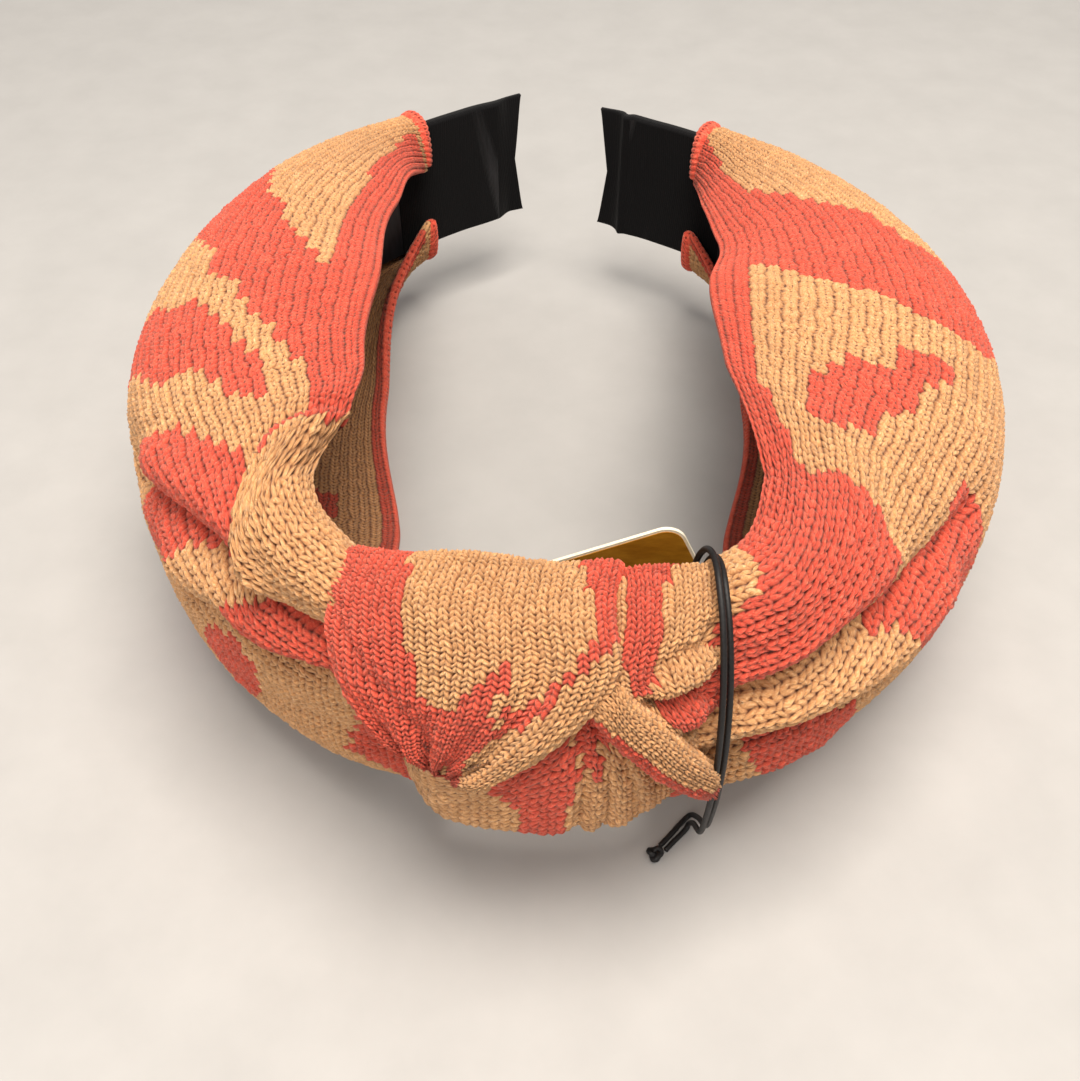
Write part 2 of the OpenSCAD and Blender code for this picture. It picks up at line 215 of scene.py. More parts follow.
def stitches(rnd, wales, courses, rows, groove, leg, pit):
    """Where the points of the knit lie on the smooth grid, their height over it, and the rise of each row."""
    jitter = rnd.normal(0, 1, (courses + 1, wales + 1, 2))
    swell = rnd.normal(0, 1, (courses, wales, 2))
    j = np.arange(wales * STITCH_COLS + 1)
    x = np.abs(2 * ((j % STITCH_COLS) / STITCH_COLS) - 1)
    r = np.arange(courses * rows + 1) / rows
    c = r % 1
    u = np.clip((r[:, None] + SLANT * (x - 0.5)[None, :]) / courses, 0, 1)
    v = np.broadcast_to(j / j[-1], u.shape)
    shift = sample(jitter, u, v)
    u = np.clip(u + 0.13 * shift[..., 0] / courses * np.minimum(1, 40 * u * (1 - u)), 0, 1)
    v = np.clip(v + 0.10 * shift[..., 1] / wales * np.minimum(1, 20 * v * (1 - v)), 0, 1)
    rise = np.sin(np.pi * c) ** 0.8
    h = (np.interp(x, [0, 0.5, 1], [-NOTCH, 0, -groove])[None, :]
         + leg * (rise[:, None] - 0.6) * np.interp(x, [0, 0.5, 1], [0.7, 1, 0.35])[None, :])
    h = h - pit * (x > 0.9)[None, :] * (c < 0.1)[:, None]
    own = swell[np.minimum(r.astype(int), courses - 1)][:, np.minimum(j // STITCH_COLS, wales - 1)]
    h = h * (1 + 0.22 * own[..., 0]) + 0.07 * own[..., 1] * rise[:, None]
    return u, v, h + rnd.normal(0, 0.025, h.shape), rise


def two_layers(grid, sign, thick, u, v, h, rise):
    """Rings of points round both layers: the outer one, a hem, the inner one and the other hem."""
    top = sample(grid, u, v)
    nn = unit(sample(grid_normals(grid, sign), u, v))
    tt = unit(sample(unit(np.gradient(grid, axis=1)), u, v))
    t = np.interp(u, np.linspace(0, 1, len(thick)), thick)[..., None]
    k = np.minimum(np.arange(len(u)), len(u) - 1 - np.arange(len(u)))
    e = np.where(k < CLOSE, np.sqrt(np.clip(1 - (1 - (k + 0.35) / CLOSE) ** 2, 0, 1)), 1.0)[:, None, None]
    mid = top - nn * t / 2
    outer = mid + nn * (t / 2 + h[..., None]) * e
    inner = mid - nn * (t / 2 - 0.5 * np.minimum(h[..., None], 0)) * e
    hems = []
    for edge, way in ((-1, 1), (0, -1)):
        m, up, out = mid[:, edge], nn[:, edge], tt[:, edge] * way
        hr = t[:, edge] / 2 * e[:, 0]
        bulge = 1 + 0.12 * (rise[:, None] - 0.5)
        hems.append([m + hr * bulge * (np.cos(a) * out + np.sin(a) * up) for a in HEM_ANGLES])
    return np.concatenate([outer, np.stack(hems[0], 1), inner[:, ::-1], np.stack(hems[1][::-1], 1)], 1)


def knit(name, grid, wales, courses, paint, thick, sign, seed, groove=0.42, leg=0.42, pit=0.15, rows=4):
    """Closed double layer of knit over the smooth outer grid (along, across, 3).
    thick lists its thickness at even steps along. paint(layer, along, across) gives 1 for the coral
    yarn and 0 for the tan one, and along and across run from 0 to 1. Wales run along the piece and
    courses across it, with rows of faces to each course."""
    rnd = np.random.default_rng(seed)
    u, v, h, rise = stitches(rnd, wales, courses, rows, groove, leg, pit)
    ring = two_layers(grid, sign, thick, u, v, h, rise)
    points = ring.reshape(-1, 3)
    m, nv = h.shape
    n_ring = ring.shape[1]
    quads = ring_quads(m, n_ring)
    # which yarn, stitch by stitch
    middles = [(np.arange(n) + 0.5) / n for n in (courses, wales)]
    cc, ww = np.meshgrid(*middles, indexing="ij")
    mask = np.stack([np.asarray(paint(layer, cc, ww), float) for layer in (0, 1)])
    tone = rnd.uniform(0, 1, mask.shape)
    first = np.arange(nv - 1)
    wale_out = first // STITCH_COLS
    wale_of = np.concatenate([wale_out, np.full(5, wales - 1), wale_out[::-1], np.full(5, 0)])
    layer_of = np.repeat([0, 0, 1, 1, 0], [nv - 1, 3, nv + 1, 2, 3])
    stitch_of = (layer_of[None, :], (np.arange(m - 1) // rows)[:, None], wale_of[None, :])
    # the UV map counts the wales round the ring and the courses along it
    hem_step = np.arange(1, 5) * 0.2
    wale_at = np.arange(nv) / STITCH_COLS
    uc = np.concatenate([wale_at, wales + hem_step, wales + 1 + wale_at,
                         2 * wales + 1 + hem_step, [2 * wales + 2]])
    uu = np.stack([uc[:-1], uc[1:], uc[1:], uc[:-1]], -1)
    r = np.arange(m) / rows
    vv = np.stack([r[:-1], r[:-1], r[1:], r[1:]], -1)
    uv = np.stack(np.broadcast_arrays(uu[None], vv[:, None]), -1).reshape(-1, 4, 2)
    # colours: which yarn, the stitch's own tone, and painted shade that is 0 (darkest) in the deepest places
    # and lower all over on the inner layer
    painted_cavity_shade = np.clip((h + 0.62) / 0.9, 0, 1)
    painted_hem_shade = np.full((m, 4), 0.9)
    colour = np.ones((len(quads), 4, 4))
    colour[..., 0] = mask[stitch_of].reshape(-1, 1)
    colour[..., 1] = tone[stitch_of].reshape(-1, 1)
    colour[..., 2] = np.concatenate([painted_cavity_shade, painted_hem_shade, 0.6 * painted_cavity_shade[:, ::-1], painted_hem_shade], 1).ravel()[quads]
    # end caps between the two layers, and a six-sided face at the end of each hem
    inn = 2 * nv + 3 - first
    cap = np.stack([first, inn, inn - 1, first + 1], -1)
    hem = np.stack([nv - 1 + np.arange(6), np.r_[2 * nv + 3 + np.arange(5), 0]])
    last = (m - 1) * n_ring
    faces = [quads, np.concatenate([cap, cap[:, ::-1] + last]), np.concatenate([hem[:, ::-1], hem + last])]
    # the end faces get a fixed level of painted shade in the third channel: 0.7 on the caps, 0.5 on the hem
    # ends
    cap_colour = np.ones((2, nv - 1, 4, 4)) * (1, 0.5, 0.7, 1)
    cap_colour[..., 0] = mask[0, [0, -1]][:, wale_out][..., None]
    hem_colour = np.full((4, 6, 4), 0.5)
    hem_colour[..., 0] = mask[0, 0, 0]
    if volume(points, faces) < 0:
        faces = [f[:, ::-1] for f in faces]
        uv, colour = uv[:, ::-1], colour[:, ::-1]
    return build(name, points, faces, [uv, np.zeros((2 * nv - 2, 4, 2)), np.zeros((4, 6, 2))],
                 [colour, cap_colour, hem_colour])


# ------------ the hoop and the arms
R1 = 68.0  # radius of the crown
CY = -2.0  # y of its centre
L1 = R1 * math.pi / 2  # length of half the crown
SR = {-1: 98.0, 1: 88.0}  # radius of each arm's side, left and right
SIDE = math.radians(48)  # its angle
TIP = 110.0  # radius of the stretch that goes on to the tip
TIP_DEG = {-1: 13.5, 1: 15.0}  # and its angle
MID = 31.6  # height of the hoop's middle line


def hoop(s, side):
    """Point and outward direction of the hoop, s mm from the middle of the crown."""
    r = SR[side]
    s = np.asarray(s, float)
    a = (np.minimum(s, L1) / R1 - np.pi / 2 + np.clip((s - L1) / r, 0, SIDE)
         + np.maximum(s - L1 - r * SIDE, 0) / TIP)
    o = np.stack([np.cos(a), np.sin(a)], -1)
    c1 = np.array([0, CY])
    c2 = np.array([R1 - r, CY])
    c3 = c2 + (r - TIP) * np.array([math.cos(SIDE), math.sin(SIDE)])
    arm = np.where((s <= L1 + r * SIDE)[..., None], c2 + r * o, c3 + TIP * o)
    p = np.where((s <= L1)[..., None], c1 + R1 * o, arm)
    return p * np.array([side, 1]), o * np.array([side, 1])


# Sections of the covers: distance along the hoop, then points (outward, up) that go from the upper hem
# round the outside to the lower one. The middle point is level with the hoop's middle line.
SECTION_POINTS = 13
BURIED = [(3, 22), (5, 23.5), (7, 23.5), (9, 22), (11, 17), (12, 9), (12, 0), (12, -8), (10.5, -14),
          (8.5, -19), (6, -21.5), (4, -22), (2, -21.5)]
CUFF = [(-4.6, 6.5), (-4.6, 11.5), (-3.2, 15.8), (0, 17), (3.2, 15.6), (4.4, 11), (4.4, 0), (4.4, -11),
        (3.2, -15.6), (0, -17), (-3.2, -15.8), (-4.6, -11.5), (-4.6, -6.5)]
# The last sections' lower halves are the same on both sides.
SIDE_LOW = [(5.2, 0), (4.8, -9), (2.5, -18), (-3, -25), (-9, -28.5), (-15, -29.8), (-20.5, -28.5)]
END_LOW = [(5, 0), (5, -8), (3.6, -15), (0, -19.6), (-3, -20.8), (-6.5, -20), (-8.5, -18)]
ARM = {-1: [
    (8, BURIED),
    (20, [(-1.4, 22), (0.4, 23.2), (2.2, 23), (4.2, 21), (6, 16), (7, 9), (7, 0), (6, -9), (4.4, -16),
     (2.2, -21), (0, -24), (-2.4, -25.5), (-5, -25.5)]),
    (30, [(-2.6, 26.6), (-0.6, 27.6), (1.6, 27), (3.8, 24), (5.6, 18), (6.4, 10), (6.4, 0), (5.6, -9),
     (3.8, -16), (1.4, -22), (-1, -25.2), (-3.8, -26.4), (-6.8, -26.4)]),
    (42, [(-7.5, 29.6), (-4.6, 30.4), (-1, 29.4), (2.4, 26), (5.6, 19), (6.8, 10), (6.4, 0), (5.4, -9),
     (3.4, -16.6), (-0.4, -23.4), (-4, -27.4), (-9, -29), (-13, -29)]),
    (47.5, [(-18.5, 29.6), (-12.5, 30.6), (-6, 30), (0, 26.8), (4.4, 19.6), (6.4, 10), (6.2, 0),
     (5.2, -10), (2.8, -18), (-2, -25.2), (-7, -28.8), (-12.5, -30.2), (-17.5, -30)]),
    (61, [(-28.5, 30.5), (-20, 31.5), (-11, 31), (-3, 27.5), (3.2, 20.5), (6, 11), (6, 0), (5, -11),
     (2.2, -20), (-4, -27.5), (-12, -30.5), (-19, -31.3), (-26, -31)]),
    (105, [(-37, 30.5), (-27, 31), (-17, 30.5), (-7, 27.5), (1.5, 20.5), (5, 11), (5.3, 0), (5, -11),
     (1, -20), (-7, -27.5), (-17, -30.5), (-26, -31.3), (-35, -31)]),
    (156, [(-28, 22.5), (-21, 24.5), (-13, 25.5), (-4, 23.5), (2.8, 17.5), (5.2, 9)] + SIDE_LOW),
    (179, [(-16.5, 16.5), (-12, 18.5), (-6, 20), (-0.3, 19.2), (3.6, 14.8), (5, 8)] + END_LOW),
    (195, CUFF)
], 1: [
    (6, BURIED),
    (15, [(-3, 26), (0, 27.6), (3.5, 27.3), (7, 24.5), (9.5, 19), (10.5, 10), (10, 0), (8.5, -9),
     (6.5, -16), (4, -21.5), (1, -25.5), (-2, -27), (-5, -27)]),
    (26, [(-6, 28.5), (-2, 30), (2, 29.5), (6, 26), (9.5, 19.5), (11.2, 10), (10, 0), (6.8, -9),
     (3, -16.4), (-1, -22.4), (-4.6, -26.6), (-7.6, -28.4), (-10.5, -28.5)]),
    (52, [(-34, 30.5), (-24, 31.5), (-13, 31), (-3.5, 27.6), (3.5, 20.5), (7, 11), (6.8, 0), (5, -9.6),
     (0.6, -18), (-6, -25), (-12.5, -29.2), (-19, -31), (-26, -31)]),
    (100, [(-44, 30), (-32, 31), (-20, 30.5), (-8.5, 27.3), (1, 20), (4.8, 11), (5.3, 0), (5, -11),
     (1.2, -20), (-7, -27.5), (-17, -30.5), (-26, -31.3), (-35, -31)]),
    (150, [(-33, 19.5), (-25, 22.5), (-15, 23.8), (-5, 22), (2.5, 16.5), (5, 9)] + SIDE_LOW),
    (175, [(-20.5, 13.5), (-14, 16.5), (-7, 18.6), (-0.3, 18.2), (3.4, 14.4), (4.8, 8)] + END_LOW),
    (191, CUFF)
]}
WALES = 54
HALF_WALES = WALES / 2
WALE_WIDTH = 2.2
COURSES = 150
SPAN = {-1: (18.0, 194.0), 1: (13.0, 190.0)}  # each cover's start and end, left and right

# Folds near the knot: line in (distance, wale), height in mm (negative is a crease), widths above and below.
FOLDS = {-1: [
    ([(22, -14.6), (32, -14), (38, -13.5), (43, -12.7), (48, -11.2), (54, -9.8), (62, -8.5),
      (72, -6.6), (82, -4)], -4.0, 2.8, 1.9),
    ([(22, -9.5), (31, -8.7), (36, -6), (42, -5), (49, -4.2), (58, -2)], -2.4, 2.4, 3),
    ([(30, -20), (38, -20.5), (44, -22)], 2.0, 9, 8),
    ([(17, -7), (21, -6.6), (25, -6.4)], 1.6, 4, 4),
    ([(42, -14.4), (50, -13.4), (60, -11.6), (70, -9.4)], 2.0, 4.5, 4.5),
    ([(28, -11.6), (36, -10), (44, -8.6), (52, -6.6), (60, -4.8)], 1.8, 3.5, 3.5),
    ([(66, -14), (76, -10), (86, -5)], -0.9, 2.4, 2.4),
    ([(20, 4), (34, 3), (48, 6)], -1.0, 5, 4)
], 1: [
    ([(12, -11), (20.5, -11.8), (26, -12), (31, -11.4), (36, -9.9), (43, -8.4), (52, -7.6), (64, -6.6)],
     -3.6, 2.8, 1.9),
    ([(14, -14), (26, -14.6), (33, -13.6), (42, -11.4)], 1.3, 2.6, 2.6),
    ([(12, -4), (18, -3.9), (23, -4.1), (28, -3.2), (35, -1.6), (42, -0.8), (50, -1.2)],
     -2.4, 2.0, 2.6),
    ([(22, -20), (30, -19), (38, -17)], 2.2, 10, 9),
    ([(12, -8), (22, -8.4), (29, -7.6), (36, -5.9), (43, -4.7), (53, -4.4)], 2.1, 3.2, 3.2),
    ([(18, 2), (26, 3), (34, 5)], 1.2, 4, 4),
    ([(46, -13), (56, -12), (66, -10.5)], -0.9, 2.4, 2.4),
    ([(34, -27), (38, -23), (44, -20.5)], -1.4, 2.6, 2.6)
]}

# Edge of the layer that laps over the next one beside the knot, on the left, and its height.
LAP = [(47.6, -29), (49.6, -25.4), (51, -22.6), (51.4, -20), (50.2, -18), (47.4, -17), (44.8, -16.4),
       (42.4, -15.6), (40.4, -15), (36, -15), (30, -15.4)]
LAP_UP = 2.4


def band(start, upper, lower):
    """Outline of a strip of coral between two wales, from start to about where the covers end."""
    return [(start, upper), (192, upper), (192, lower), (start, lower)]


# Coral yarn on the covers: outlines in (distance along the hoop, wale), where wale -27 is the upper
# hem and 27 the lower one.
CORAL = {-1: [
    [(50, -28), (50, -24), (101, -24), (160, -23.5), (180, -23), (192, -20.5), (192, -28)],
    [(48, -24.5), (101, -24), (102, -24), (111, -23), (121, -21), (127, -19), (134, -18.5),
     (139, -16.5), (145.5, -15), (152, -13.5), (162, -9), (166, -4), (160, -1), (150, -3), (140, -6.5),
     (126, -11), (122, -12.5), (115, -15), (106, -15.5), (101, -17.5), (96, -18), (86, -19.5),
     (79, -21), (70, -22), (65, -23), (50, -23)],
    [(62, -19.5), (72, -20), (76, -19), (83, -18), (91, -16.5), (98, -15), (100, -12.5), (104, -11),
     (108, -6), (104, -3), (97, -5), (91, -9), (85, -11), (81, -12), (79.5, -14.5), (75, -16),
     (72, -16.5), (67, -17), (64, -18.5)],
    [(41, -14), (42.5, -15.5), (45, -16.5), (48, -17), (51, -17.5), (55, -16.5), (62, -14.5),
     (70, -13), (73, -11), (79, -8), (77, -4), (72, -2), (66, -3), (61, -5), (58, -7.5), (54, -9),
     (50, -10.5), (44, -12.5), (41, -13), (33, -13.5), (33, -14.5)],
    [(24, -14.5), (33, -14), (41, -13), (43, -11), (46.5, -8), (48.5, -5), (41.5, -5), (36, -6),
     (31, -9), (24, -10)],
    [(44.5, -1), (50, -2), (57, 0.5), (60, 4), (57, 9), (52, 9.5), (47, 4.5)],
    [(14, -4), (22.5, -3), (25, -4.5), (28.5, -2), (26.5, 0), (29.5, 1), (28.5, 3), (31, 4), (30, 6),
     (32, 7.5), (26, 9), (24, 13), (14, 14)],
    [(44.5, -28), (47, -26.5), (49, -23), (49.5, -20.5), (48.5, -19), (50.5, -17.5), (53, -20),
     (52.5, -23), (50, -28)],
    [(70, 6), (80, 4), (92, 8), (98, 13), (92, 17), (84, 15), (76, 12), (68, 11)],
    [(120, 6), (132, 4), (146, 9), (150, 16), (140, 19), (128, 15), (120, 12)],
    [(44, 19), (56, 17), (66, 21), (64, 26), (52, 26)],
    [(168, 6), (180, 4), (192, 4), (192, 14), (178, 13)],
    band(30, 26, 28)
], 1: [
    [(45, -28), (45, -24.5), (109, -24.5), (150, -24.5), (192, -24.5), (192, -28)],
    [(109, -24.5), (103, -22.5), (99, -21.5), (96.5, -19.5), (94, -19), (95.5, -17), (92, -15),
     (92, -12), (94, -9), (100, -5), (108, -3), (116, -5), (122, -9), (124, -13), (133, -14),
     (138, -16), (142.5, -18), (148.5, -19), (155, -20.5), (162, -21.5), (169, -22.5), (177.5, -22),
     (183.5, -21), (192, -18), (192, -25)],
    [(48, -21), (54, -21), (60, -20.5), (65, -19.5), (69.5, -18.5), (69, -17), (72.5, -16),
     (78.5, -15.5), (81, -13.5), (82, -12), (78, -12), (73.5, -13.5), (66, -14), (61.5, -15),
     (58, -16), (54, -16), (50.5, -18), (48, -19.5)],
    [(23, -28), (48, -28), (48, -24.5), (42, -23.5), (37.5, -22), (41, -18.5), (43, -15.5),
     (43.5, -13), (43, -10), (37, -11), (31, -12), (26.5, -13), (20.5, -12.5), (12, -11.5), (12, -19),
     (18, -20), (20.5, -21), (22, -22.5)],
    [(35.5, -9.5), (41, -8.5), (46, -8.5), (51.5, -8), (57.5, -8), (61, -9.5), (64, -9), (67, -6.5),
     (67.5, -3), (66, 2), (62, 5), (56, 3), (50, -1), (43, -6), (39.5, -8)],
    [(20, -3.5), (24.5, -4), (30, -2.5), (34.5, -1), (38.5, 0.5), (41, 5), (40.5, 9), (36.5, 11.5),
     (31, 11), (27, 8), (23.5, 2.5)],
    [(12, 1), (17, 2), (18, 6), (15, 9), (12, 9)],
    [(64, 2), (74, 0), (86, 4), (90, 10), (82, 13), (72, 10), (64, 7)],
    [(112, 6), (124, 3), (138, 7), (142, 13), (130, 17), (118, 14)],
    [(40, 16), (52, 14), (62, 18), (58, 24), (46, 24)],
    [(160, 2), (176, 0), (192, 4), (192, 12), (176, 12), (164, 9)],
    band(30, 26, 28)
]}

# Coral on the side that faces the head.
CORAL_IN = {-1: [
    band(10, 26, 28),
    band(10, -28, -25.5),
    [(34, 7), (64, 7), (74, 13), (73, 23.5), (50, 24), (34, 22)],
    [(96, 12), (112, 10), (120, 16), (116, 22), (100, 21)],
    [(70, -20), (84, -22), (96, -16), (88, -10), (74, -12)],
    [(140, 6), (156, 4), (164, 12), (150, 18)]
], 1: [
    band(10, 26, 28),
    band(10, -28, -25.5),
    [(44, 6), (60, 8), (64, 18), (52, 22), (42, 16)],
    [(88, 12), (104, 8), (116, 14), (108, 22), (92, 20)],
    [(66, -20), (82, -22), (92, -16), (84, -10), (70, -12)],
    [(136, 4), (154, 6), (158, 14), (144, 18)]
]}


def fold_distance(line, s, wale):
    """Distance in mm to a line of (distance, wale), and the side it is on."""
    return line_distance([(a, b * WALE_WIDTH) for a, b in line], s, wale * WALE_WIDTH)


def arm_grid(side, n_s=130, n_v=181):
    """Smooth outer surface of a cover, (along, across, 3), with the folds near the knot."""
    s = np.linspace(*SPAN[side], n_s)
    v = np.linspace(-1, 1, n_v)
    tab = ARM[side]
    c = cubic(s, [a for a, _ in tab], np.array([b for _, b in tab], float))
    q = np.empty((n_s, n_v, 2))
    fine = np.linspace(0, SECTION_POINTS - 1, 145)
    for k in range(n_s):
        p = cubic(fine, np.arange(SECTION_POINTS), c[k])
        d = run_length(p)
        m, full = np.interp(SECTION_POINTS // 2, fine, d), d[-1]
        w = np.where(v < 0, m * (1 + v), m + (full - m) * v)
        q[k, :, 0] = np.interp(w, d, p[:, 0])
        q[k, :, 1] = np.interp(w, d, p[:, 1])
    wale = v[None, :] * HALF_WALES + 0 * s[:, None]
    ss = s[:, None] + 0 * wale
    p, o = hoop(s, side)
    pts = np.concatenate([p[:, None, :] + o[:, None, :] * q[..., :1], MID + q[..., 1:]], -1)
    near = smooth(SPAN[side][0] + 26, SPAN[side][0] + 1, ss)  # drawn up and in towards the knot
    pts[..., 2] += 7.0 * near * smooth(7, 25, wale)
    if side > 0:
        pts[..., :2] -= o[:, None, :] * (3.0 * smooth(36, 15, ss) * smooth(2, 14, wale))[..., None]
    n = grid_normals(pts, -side)
    h = np.zeros_like(ss)
    if side < 0:  # beside the knot one layer laps over the next, and its edge curls up
        d, sd = fold_distance(LAP, ss, wale)
        d = np.where(sd > 0, d, -d)
        here = smooth(37, 44, ss)
        h += LAP_UP * here * smooth(-0.9, 0.7, d) * np.exp(-(np.maximum(d, 0) / 7.5) ** 2)
        h -= 1.6 * here * np.exp(-((d + 1.6) / 1.6) ** 2)
        h -= 3.2 * np.exp(-((ss - 45) / 2.4) ** 2) * smooth(-22.5, -26.5, wale)
    for line, height, wa, wb in FOLDS[side]:
        d, sd = fold_distance(line, ss, wale)
        h += height * np.exp(-((d / np.where(sd > 0, wb, wa)) ** (1.4 if height < 0 else 2)))
    return pts + n * h[..., None]


def arm_paint(side):
    """The paint function of a cover."""
    s0, s1 = SPAN[side]

    def paint(layer, along, across):
        outlines = (CORAL_IN if layer else CORAL)[side]
        return in_any(outlines, s0 + (s1 - s0) * along, (across * 2 - 1) * HALF_WALES)
    return paint


# ------------ the knot
KNOT_X = -5.5  # the knot's middle
KNOT_HALF = 31.0  # half its length where it stands out in front
KNOT_HALF_BELOW = 38.0  # and on its underside
KNOT_FRONT = 17.8  # how far it comes out in front of the hoop
KNOT_BACK = 6.0  # and behind it
KNOT_Z = 32.7  # height of its middle
KNOT_BELOW = 32.4  # how far it reaches below that
KNOT_TOP_X = [-40, -30, -20, -5, 5, 12, 20, 30]
KNOT_ABOVE = [22, 26.6, 29.6, 31.2, 31, 30.2, 28.4, 24]  # how far it reaches above it at KNOT_TOP_X


def knot_raw(x, al):
    """Point of the knot's smooth body at x mm and al radians round it."""
    e = np.clip(np.abs(x - KNOT_X) / KNOT_HALF, 0, 0.995)
    d = KNOT_FRONT * (1 - e**4) ** 0.5
    below = KNOT_BELOW * (1 - (np.abs(x - KNOT_X) / KNOT_HALF_BELOW).clip(0, 0.99) ** 5) ** 0.5
    above = cubic(x, KNOT_TOP_X, KNOT_ABOVE)
    yc = CY - np.sqrt(R1**2 - x**2)
    q = 2.5 - 1.35 * smooth(0, -0.35, al)
    k = (np.abs(np.cos(al)) ** q + np.abs(np.sin(al)) ** q) ** (-1 / q)
    front = np.where(np.cos(al) > 0, d, KNOT_BACK)
    return np.stack([x + 0 * al, yc - front * k * np.cos(al),
                     KNOT_Z + np.where(np.sin(al) > 0, above, below) * k * np.sin(al)], -1)


def knot_at(x, al, up):
    """Point up mm above the knot, at x mm and al degrees round it (0 front, 90 top, -90 underside)."""
    al = np.radians(al)
    e = 0.05
    n = np.cross(knot_raw(x + e, al) - knot_raw(x - e, al),
                 knot_raw(x, al + e * 0.02) - knot_raw(x, al - e * 0.02))
    return knot_raw(x, al) + unit(n) * up[..., None]


def strand_grid(left, right, up, tuck, lift):
    """Strand between two edge lines of (x, angle), with the (x, angle) of each of its points.
    up(u, v, x, angle) is its height over the knot, tuck how far its first end goes back under the
    cover, and lift how far its lower part is drawn up and back, at its left and right."""
    u = np.linspace(0, 1, 120)
    v = np.linspace(0, 1, 90)
    a = cubic(u, np.linspace(0, 1, len(left)), left)
    b = cubic(u, np.linspace(0, 1, len(right)), right)
    uu, vv = np.meshgrid(u, v, indexing="ij")
    q = a[:, None] * (1 - vv[..., None]) + b[:, None] * vv[..., None]
    pts = knot_at(q[..., 0], q[..., 1], up(uu, vv, q[..., 0], q[..., 1]))
    pts[..., 1] += tuck * (1 - smooth(0.0, 0.2, uu)) ** 1.3
    drawn = (lift[0] + (lift[1] - lift[0]) * smooth(2, 15, q[..., 0])) * smooth(30, -40, q[..., 1])
    pts[..., 1:] += drawn[..., None]
    return pts, q


def crease(line, x, al, width, power=1.4):
    """1 on a line of (x, angle), falling to 0 about one width (mm) away."""
    d, _ = line_distance([(a, b * 0.5) for a, b in line], x, al * 0.5)
    return np.exp(-(d / width) ** power)


def rounded(v, p):
    """1 along a strand's middle, falling to 0 at both edges; the higher p, the later it falls."""
    return (1 - np.clip(np.abs(2 * v - 1), 0, 1) ** p) ** (1 / p)


# Coral yarn on the knot, in (x, angle).
KNOT_CORAL = [
    [(-34, 130), (-19.5, 130), (-20, 94), (-20, 80), (-21, 70.5), (-21, 63), (-20, 54.5), (-19, 47),
     (-19, 41), (-17, 38), (-15, 38.5), (-14.5, 40), (-12, 46.5), (-9.5, 51.5), (-7.5, 56), (-7, 52.5),
     (-8, 47.5), (-10.5, 42.5), (-10, 39), (-8.5, 43), (-7.5, 42), (-9.5, 37), (-11, 33), (-13, 26),
     (-14, 22), (-15, 6), (-24, 4), (-34, 16), (-37, 40), (-37, 80)],
    [(5.5, 67), (3, 64), (1, 60), (0, 55.5), (-2, 50), (-4, 46.5), (-6, 42), (-8, 39), (-11, 33),
     (-13, 26), (-11, 30), (-8, 34), (-6, 38.5), (-3, 43), (-2, 47), (0, 51), (2, 55), (5, 60)],
    [(0, 130), (8, 130), (6, 89), (5.5, 67), (3, 64), (2.5, 67), (2, 71), (1.5, 80), (1, 89)]]
UPPER_CORAL = [[(3, 130), (13, 130), (12, 95), (11, 80.5), (11, 64.5), (10, 56.5), (10, 49), (9.5, 45.5),
                (8.5, 42.5), (7, 44), (5.5, 52), (5.5, 60), (5.5, 88)],
               [(24, 46), (18, 43.5), (14, 42), (11.5, 40), (10, 38.5), (11.5, 35), (13.5, 31), (15, 27),
                (17, 26.5), (24, 32)]]
LOWER_CORAL = [[(-3, 44), (1.5, 40.5), (3, 38), (6.5, 32.5), (10, 24.5), (13.5, 16.5), (17, 7.5), (19.5, 1),
                (23, -2), (23, -16), (14, -8), (8, 12), (2, 26)]]
UNDER_CORAL = [[(-11, 20), (-12.5, 15), (-11, 11), (-9, 6.5), (-7, 2.5), (-7, -30), (-5, -70), (-1, -70),
                (-0.5, -30), (-0.5, 3), (0, 10), (1, 17), (0, 23.5), (-1, 28), (-2, 33), (-8, 32), (-11, 27)],
               [(-0.5, 33), (0.5, 27.5), (1, 22), (2, 16), (3.5, 12.5), (4, 18.5), (3.5, 24), (4.5, 27.5),
                (5.5, 25), (5, 33), (3, 40), (-1, 40)]]


def strand(name, left, right, up, wales, courses, coral, seed, pit, sign=1, tuck=0.0, lift=(0.0, 0.0)):
    """Knitted strand of the knot; coral lists the outlines of its coral yarn."""
    grid, q = strand_grid(left, right, up, tuck, lift)

    def paint(layer, along, across):
        return in_any(coral, *np.moveaxis(sample(q, along, across), -1, 0))
    return knit(name, grid, wales, courses, paint, [2.6, 2.6], sign, seed, groove=0.3, leg=0.36, pit=pit)


def wrap_up(u, v, x, al):
    roll = smooth(0.3, 0.48, u) * (1 - 0.6 * smooth(0.86, 1.0, u))
    h = -3.4 * (1 - rounded(v, 7))
    h += roll * (1.8 * np.exp(-((v - 0.885) / 0.1) ** 2) - 1.3 * np.exp(-((v - 0.735) / 0.045) ** 2))
    pleat = smooth(0.55, 0.92, u) * (1 - smooth(0.74, 0.8, v))
    h += pleat * (0.95 * np.sin(2 * np.pi * (4.4 * v + 0.1)) - 0.5)
    h -= 2.2 * smooth(0.86, 1.0, u)
    h -= 1.0 * crease([(-31, 62), (-27, 48), (-21, 33), (-17.5, 22)], x, al, 1.5)
    h += 0.5 * np.sin(0.31 * x + 0.02 * al) * np.sin(0.09 * al + 1.0)
    return h + 0.4


